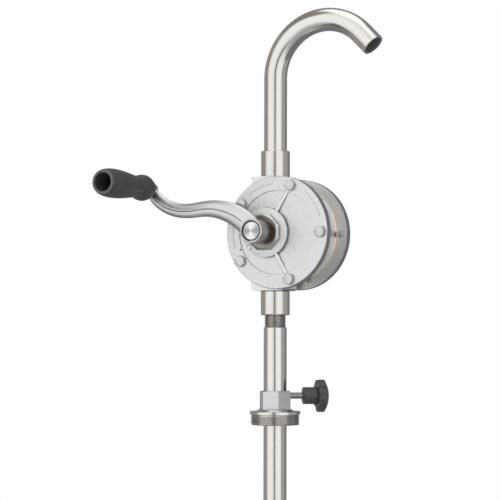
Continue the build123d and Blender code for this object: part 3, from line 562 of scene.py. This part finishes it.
def away_from(point, middle_point):
    """The distance of a point from a line along the shaft."""
    return ((point.x - middle_point.x) ** 2 + (point.z - middle_point.z) ** 2) ** 0.5


def is_rim(centre, normal):
    return away_from(centre, CASING_MID) > COVER_R - RIM_BAND and abs(normal.y) < 0.8


def is_boss_side(centre, normal):
    return BOSS_SIDE_R[0] < away_from(centre, HUB_MID) < BOSS_SIDE_R[1] and abs(normal.y) < 0.9


def is_rib(centre, normal):
    inside_ring = away_from(centre, CASING_MID) < WEB_RING_R and away_from(centre, HUB_MID) > BOSS_FOOT_R
    return inside_ring and centre.y < COVER_FACE + 0.0003


def is_hub_side(centre, normal):
    return abs(away_from(centre, HUB_MID) - HUB_R) < 0.0004 and abs(normal.y) < 0.5


def is_recess(centre, normal):
    return away_from(centre, HUB_MID) < NUT_RECESS_R


def is_nut_side(centre, normal):
    return away_from(centre, HUB_MID) > NUT_RECESS_R + 0.0001 and abs(normal.y) < 0.95


def is_hexagon_flat(centre, normal):
    outwards = Vector((centre.x, centre.y, 0)).length
    return centre.z > HEXAGON_LOW_Z and abs(normal.z) < 0.1 and outwards > HEXAGON_INNER_R


def is_grip_edge(centre, normal):
    return centre.y < GRIP_MOUTH_Y + GRIP_BAND or abs(centre.y - GRIP_WAIST_Y) < GRIP_BAND


EXTRA_FINISHES = {
    # The boss's side takes the dark steel as painted shade.
    "front_cover": ((is_rim, RIM_STEEL), (is_boss_side, HUB_STEEL), (is_rib, RIB_STEEL)),
    # The rims take the darker bluish steel: painted reflection over a smoother turned finish.
    "pump_casing": ((is_rim, RIM_STEEL),),
    "rear_cover": ((is_rim, RIM_STEEL),),
    # The hub's side takes the dark steel as painted shade.
    "crank_arm": ((is_hub_side, HUB_STEEL),),
    # The nut's recess and its sides take darker steels: painted shade.
    "gland_nut": ((is_recess, GLAND_STEEL), (is_nut_side, THREAD_STEEL)),
    "bung_adapter": ((is_hexagon_flat, FLAT_STEEL),),
    # The grip's mouth and waist edges take the lighter plastic as painted highlight.
    "hand_grip": ((is_grip_edge, WORN_PLASTIC),),
}


def thin_band(maker, centre, axis, low, high, least_r, new_r):
    """Bring the vertices of a shaft's outer wall in to a thread's root, between two places along its axis."""
    for vertex in maker.verts:
        offset = vertex.co - centre
        along = offset.dot(axis)
        outwards = offset - along * axis
        if low < along < high and outwards.length > least_r:
            vertex.co = centre + along * axis + outwards.normalized() * new_r


def smooth_regions(maker, angle=40):
    """The faces in groups that sharp edges part from each other."""
    left = set(maker.faces)
    while left:
        region, front = [], [left.pop()]
        while front:
            face = front.pop()
            region.append(face)
            for edge in face.edges:
                if len(edge.link_faces) == 2 and edge.calc_face_angle(0) < radians(angle):
                    for other in edge.link_faces:
                        if other in left:
                            left.remove(other)
                            front.append(other)
        yield region


def mark_bore(maker, index):
    """The pipe's inner wall takes the duller finish of its bore."""
    for region in smooth_regions(maker):
        reach = max(abs(vertex.co.y) for face in region for vertex in face.verts)
        if abs(reach - BORE_R) < 0.0003:
            for face in region:
                face.material_index = index


def dress(node, edge_width, maker=None):
    """Put a smooth-shaded copy of a node in its place, with its edges broken."""
    maker = maker or node_copy(node)
    extra = EXTRA_FINISHES.get(node, ())
    for index, (test, finish) in enumerate(extra):
        for face in maker.faces:
            if test(face.calc_center_median(), face.normal):
                face.material_index = index + 1
    finishes = [finish for test, finish in extra]
    if node in ("suction_tube", "discharge_spout"):
        finishes.append(BORE_STEEL)
        mark_bore(maker, len(finishes))
    finish = NODE_FINISH.get(node, FASTENER_STEEL)
    piece = add_piece(node + "_dressed", maker, finish, BODY_OF[node], SLOT_OF[node], extra=finishes)
    if edge_width:
        soft_edges(piece, edge_width)
    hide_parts(node)


def screw_thread(name, like_node, crest_r, root_r, pitch, start, length, turned=None):
    """A helical ridge round +Z, run out into its root at both ends, then turned to lie on its own axis."""
    steps = 36
    maker = bmesh.new()
    hidden_r = root_r - 0.0003
    profile = ((hidden_r, 0.04), (crest_r, 0.42), (crest_r, 0.58), (hidden_r, 0.96))
    corners = [maker.verts.new((radius, 0, start - pitch + share * pitch)) for radius, share in profile]
    for first, second in zip(corners, corners[1:] + corners[:1]):
        maker.edges.new((first, second))
    turns = int(length / pitch) + 2
    bmesh.ops.spin(
        maker, geom=maker.verts[:] + maker.edges[:], cent=(0, 0, 0), axis=(0, 0, 1),
        dvec=(0, 0, pitch / steps), angle=2 * pi * turns, steps=steps * turns, use_duplicate=False,
    )
    bmesh.ops.remove_doubles(maker, verts=maker.verts, dist=2e-6)
    for place, way in ((start, -1), (start + length, 1)):
        cut_across(maker, (0, 0, place), (0, 0, way), clear_outer=True)
    bmesh.ops.holes_fill(maker, edges=[edge for edge in maker.edges if edge.is_boundary], sides=0)
    run_out, least = 0.45 * pitch, 0.1
    for vertex in maker.verts:
        share = min(1.0, (vertex.co.z - start) / run_out, (start + length - vertex.co.z) / run_out)
        radius = Vector((vertex.co.x, vertex.co.y, 0)).length
        shrink = (hidden_r + (radius - hidden_r) * (least + (1 - least) * max(share, 0.0))) / radius
        vertex.co.x *= shrink
        vertex.co.y *= shrink
    bmesh.ops.recalc_face_normals(maker, faces=maker.faces)
    if turned:
        bmesh.ops.transform(maker, matrix=turned, verts=maker.verts)
    finish = FASTENER_STEEL if like_node == "clamp_stud" else THREAD_STEEL
    add_piece(name, maker, finish, BODY_OF[like_node], SLOT_OF[like_node], 60)


for node in frame["nodes"].values():
    node.data.materials.clear()
    node.data.materials.append(NODE_FINISH.get(node.name, FASTENER_STEEL))

EDGES = {
    "discharge_spout": 0.0003,
    "inlet_socket": 0.0002,
    "outlet_socket": 0.0002,
    "pump_casing": 0.0005,
    "rear_cover": 0.0003,
    "front_cover": 0.0004,
    "crank_arm": 0.0003,
    "rotor_shaft": 0.0002,
    "gland_nut": 0.0002,
    "cover_bolts": 0.0003,
    "rear_nuts": 0.0002,
    "rear_screws": 0.0002,
    "grease_plug": 0.0002,
    "hand_grip": 0.0,
    "clamp_knob": 0.0,
    "crank_circlip": 0.00015,
    "crank_key": 0.0002,
    "grip_nut": 0.0002,
    "grip_spindle": 0.0002,
    "grip_washer": 0.0001,
}
for node, width in EDGES.items():
    dress(node, width)

# ---------------------------------------------------------------- threads
UP = Vector((0, 0, 1))
ORIGIN = Vector((0, 0, 0))
FAR = 1.0
A_HAIR = 0.0001
BUNG_CREST, BUNG_ROOT, BUNG_PITCH, BUNG_LENGTH = 0.0298, 0.02835, 0.002309, 0.0128
BUNG_NECK, BUNG_WALL_R = 0.0012, 0.029
TUBE_CREST, TUBE_ROOT, TUBE_PITCH = 0.0132, 0.01205, 0.001814
TUBE_NECK, TUBE_WALL_R = 0.0008, 0.0128
SHOULDER_Z, TUBE_TOP_Z = 0.1054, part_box("suction_tube")[1].z
STUD_CREST, STUD_ROOT, STUD_PITCH = 0.004, 0.00335, 0.00125
STUD_START, STUD_LENGTH, STUD_WALL_R = 0.0158, 0.034, 0.003

adapter = node_copy("bung_adapter")
cut_across(adapter, (0, 0, -BUNG_NECK), UP)
thin_band(adapter, ORIGIN, UP, -FAR, A_HAIR - BUNG_NECK, BUNG_WALL_R, BUNG_ROOT)
dress("bung_adapter", 0.0003, adapter)
screw_thread(
    "bung_thread_ridges", "bung_adapter", BUNG_CREST, BUNG_ROOT, BUNG_PITCH,
    -BUNG_LENGTH, BUNG_LENGTH - BUNG_NECK / 2,
)

tube = node_copy("suction_tube")
cut_across(tube, (0, 0, SHOULDER_Z + TUBE_NECK), UP)
thin_band(tube, ORIGIN, UP, SHOULDER_Z + TUBE_NECK - A_HAIR, FAR, TUBE_WALL_R, TUBE_ROOT)
dress("suction_tube", 0.0, tube)
screw_thread(
    "tube_thread_ridges", "suction_tube", TUBE_CREST, TUBE_ROOT, TUBE_PITCH,
    SHOULDER_Z + TUBE_NECK / 2, TUBE_TOP_Z - SHOULDER_Z - 0.0006,
)

clamp_axis = Vector((cos(CLAMP_TURN), sin(CLAMP_TURN), 0))
clamp_foot = Vector((0, 0, CLAMP_Z))
stud = node_copy("clamp_stud")
thin_band(stud, clamp_foot, clamp_axis, 0.0, FAR, STUD_WALL_R, STUD_ROOT)
dress("clamp_stud", 0.0, stud)
screw_thread(
    "stud_thread_ridges", "clamp_stud", STUD_CREST, STUD_ROOT, STUD_PITCH, STUD_START, STUD_LENGTH,
    Matrix.Translation(clamp_foot) @ Matrix.Rotation(CLAMP_TURN, 4, "Z") @ Matrix.Rotation(pi / 2, 4, "Y"),
)


# ---------------------------------------------------------------- raised arrows on the cover
def raised_arrow(name, start, sweep, radius):
    """A curved arrow in low relief on the cover's face, from a start angle, along the ring."""
    wide, head, height = 0.0011, 0.0027, 0.0006
    way = 1 if sweep > 0 else -1
    maker = bmesh.new()

    def on_ring(angle, distance):
        turn = radians(angle)
        return Vector((CASING_MID.x + distance * cos(turn), COVER_FACE, CASING_MID.z + distance * sin(turn)))

    ends = [maker.verts.new(on_ring(start, radius + offset)) for offset in (-wide, wide)]
    maker.edges.new(ends)
    made = bmesh.ops.spin(
        maker, geom=maker.verts[:] + maker.edges[:], cent=CASING_MID, axis=(0, -1, 0),
        angle=radians(sweep), steps=12, use_duplicate=False,
    )
    last = [vertex for vertex in made["geom_last"] if isinstance(vertex, bmesh.types.BMVert)]
    last.sort(key=lambda vertex: away_from(vertex.co, CASING_MID))
    wings = [maker.verts.new(on_ring(start + sweep, radius + offset)) for offset in (-head, head)]
    tip = maker.verts.new(on_ring(start + sweep + way * 5.0, radius))
    maker.faces.new((last[0], last[1], wings[1], tip, wings[0]))
    bmesh.ops.recalc_face_normals(maker, faces=maker.faces)
    grown = bmesh.ops.extrude_face_region(maker, geom=maker.faces[:])
    risen = [item for item in grown["geom"] if isinstance(item, bmesh.types.BMVert)]
    bmesh.ops.translate(maker, vec=(0, -height, 0), verts=risen)
    bmesh.ops.translate(maker, vec=(0, 0.0001, 0), verts=maker.verts)
    bmesh.ops.recalc_face_normals(maker, faces=maker.faces)
    piece = add_piece(name, maker, COVER_STEEL, BODY_OF["front_cover"], SLOT_OF["front_cover"], 30)
    soft_edges(piece, 0.00025)


ARROW_RING_R = 0.0600
for side, start, sweep in (("top", 129, -30), ("right", 52, -30), ("left", 198, -28)):
    raised_arrow("cover_arrow_" + side, start, sweep, ARROW_RING_R)

# ---------------------------------------------------------------- floor, light and camera
FLOOR_Z = FOOT_Z - 0.0005
FLOOR_SIZE = 30.0
floor_maker = bmesh.new()
bmesh.ops.create_grid(floor_maker, x_segments=1, y_segments=1, size=FLOOR_SIZE)
bmesh.ops.translate(floor_maker, vec=(0, 0, FLOOR_Z), verts=floor_maker.verts)
floor_mesh = bpy.data.meshes.new("floor")
floor_maker.to_mesh(floor_mesh)
floor_maker.free()
floor = add_object("floor", floor_mesh)

floor_paint, tree, shader, place = new_material("floor paint")
shader.inputs["Base Color"].default_value = (0.9, 0.9, 0.9, 1)
shader.inputs["Roughness"].default_value = 0.9
shader.inputs["Specular IOR Level"].default_value = 0.1
glow = put(tree, "ShaderNodeEmission")
glow.inputs["Color"].default_value = (1, 1, 1, 1)
away = put(tree, "ShaderNodeVectorMath", operation="LENGTH")
tree.links.new(place, away.inputs[0])
fade = put(tree, "ShaderNodeMapRange", interpolation_type="SMOOTHSTEP")
fade.inputs["From Min"].default_value = 1.1
fade.inputs["From Max"].default_value = 3.0
tree.links.new(away.outputs["Value"], fade.inputs["Value"])
blend = put(tree, "ShaderNodeMixShader")
faded = math_node(tree, "MULTIPLY", fade.outputs["Result"], seen_or_mirrored(tree))
tree.links.new(faded, blend.inputs["Fac"])
tree.links.new(shader.outputs["BSDF"], blend.inputs[1])
tree.links.new(glow.outputs["Emission"], blend.inputs[2])
tree.links.new(blend.outputs["Shader"], tree.nodes["Material Output"].inputs["Surface"])
floor_mesh.materials.append(floor_paint)

world = bpy.data.worlds.new("studio")
bpy.context.scene.world = world
world.use_nodes = True
tree = world.node_tree
ambient = tree.nodes["Background"]
ambient.inputs["Color"].default_value = (1, 1, 1, 1)
ambient.inputs["Strength"].default_value = 0.35
white = put(tree, "ShaderNodeBackground")
white.inputs["Color"].default_value = (1, 1, 1, 1)
white.inputs["Strength"].default_value = 1.0
blend = put(tree, "ShaderNodeMixShader")
tree.links.new(seen_or_mirrored(tree), blend.inputs["Fac"])
tree.links.new(ambient.outputs["Background"], blend.inputs[1])
tree.links.new(white.outputs["Background"], blend.inputs[2])
tree.links.new(blend.outputs["Shader"], tree.nodes["World Output"].inputs["Surface"])

CAMERA_TURN = 27.93
CAMERA_PLACE = Vector((0.9555, -1.8027, 0.0877))
HEADING = radians(28.793)
PITCH = radians(3.13)
ROLL = radians(0.15)
camera_data = bpy.data.cameras.new("camera")
camera_data.lens = 120.7
camera_data.sensor_width = 36.0
camera_data.clip_end = 200.0
camera = add_object("camera", camera_data)
camera.matrix_world = (
    Matrix.Translation(CAMERA_PLACE)
    @ Matrix.Rotation(HEADING, 4, "Z")
    @ Matrix.Rotation(pi / 2 + PITCH, 4, "X")
    @ Matrix.Rotation(ROLL, 4, "Z")
)
bpy.context.scene.camera = camera


def around(turn, distance, height):
    """A place round the pump: the turn is counted from the camera's side, positive to the picture's right."""
    angle = radians(CAMERA_TURN - 90 + turn)
    return Vector((distance * cos(angle), distance * sin(angle), height))


def softbox(name, turn, distance, height, width, tall, radiance, aim_z):
    lamp = bpy.data.lights.new(name, "AREA")
    lamp.shape = "RECTANGLE"
    lamp.size = width
    lamp.size_y = tall
    lamp.energy = radiance * pi * width * tall
    holder = add_object(name, lamp)
    holder.location = around(turn, distance, height)
    aim = Vector((0, 0, aim_z)) - holder.location
    holder.rotation_euler = aim.to_track_quat("-Z", "Y").to_euler()
    return holder


def studio_card(name, turns, distances, heights, grey):
    """A curved grey card round part of the set. Only reflections see it: it gives metal its dark edges."""
    start, end = turns
    maker = bmesh.new()
    foot, top = (maker.verts.new(around(start, *spot)) for spot in zip(distances, heights))
    maker.edges.new((foot, top))
    bmesh.ops.spin(
        maker, geom=maker.verts[:] + maker.edges[:], cent=(0, 0, 0), axis=(0, 0, 1),
        angle=radians(end - start), steps=max(2, round(abs(end - start) / 5)), use_duplicate=False,
    )
    mesh = bpy.data.meshes.new(name)
    maker.to_mesh(mesh)
    maker.free()
    card = add_object(name, mesh)
    paint = bpy.data.materials.new(name + " paint")
    paint.use_nodes = True
    paint.node_tree.nodes.remove(paint.node_tree.nodes["Principled BSDF"])
    glow = put(paint.node_tree, "ShaderNodeEmission")
    glow.inputs["Color"].default_value = (*grey, 1)
    surface = paint.node_tree.nodes["Material Output"].inputs["Surface"]
    paint.node_tree.links.new(glow.outputs["Emission"], surface)
    mesh.materials.append(paint)
    card.visible_camera = False
    card.visible_shadow = False
    card.visible_diffuse = False


WALL, WALL_HEIGHTS = (2.9, 2.9), (-1.0, 2.4)
studio_card("left_card", (-84, -160), WALL, WALL_HEIGHTS, (0.36, 0.33, 0.31))
studio_card("back_left_card", (-160, -180), WALL, WALL_HEIGHTS, (0.26, 0.25, 0.25))
studio_card("right_card", (62, 112), WALL, WALL_HEIGHTS, (0.43, 0.41, 0.40))
studio_card("back_right_card", (112, 180), WALL, WALL_HEIGHTS, (0.22, 0.22, 0.235))
studio_card("front_card", (-13, 3), (2.0, 2.0), WALL_HEIGHTS, (0.24, 0.23, 0.23))
studio_card("low_card", (55, 290), (0.25, 2.9), (FOOT_Z + 0.03, FOOT_Z + 0.03), (0.20, 0.20, 0.21))
studio_card("high_card", (50, 300), (2.9, 1.0), (2.4, 2.5), (0.26, 0.25, 0.25))
softbox("left softbox", -50, 2.2, 0.7, 1.5, 2.4, 0.12, 0.2)
softbox("right softbox", 33, 2.4, 0.8, 1.6, 2.4, 0.14, 0.2)
softbox("top softbox", 0, 0.3, 2.4, 1.6, 1.6, 0.4, 0.0)
key = softbox("key softbox", -40, 2.0, 1.6, 1.2, 1.2, 2.4, 0.2)
key.visible_glossy = False

bpy.context.scene.view_settings.view_transform = "Standard"
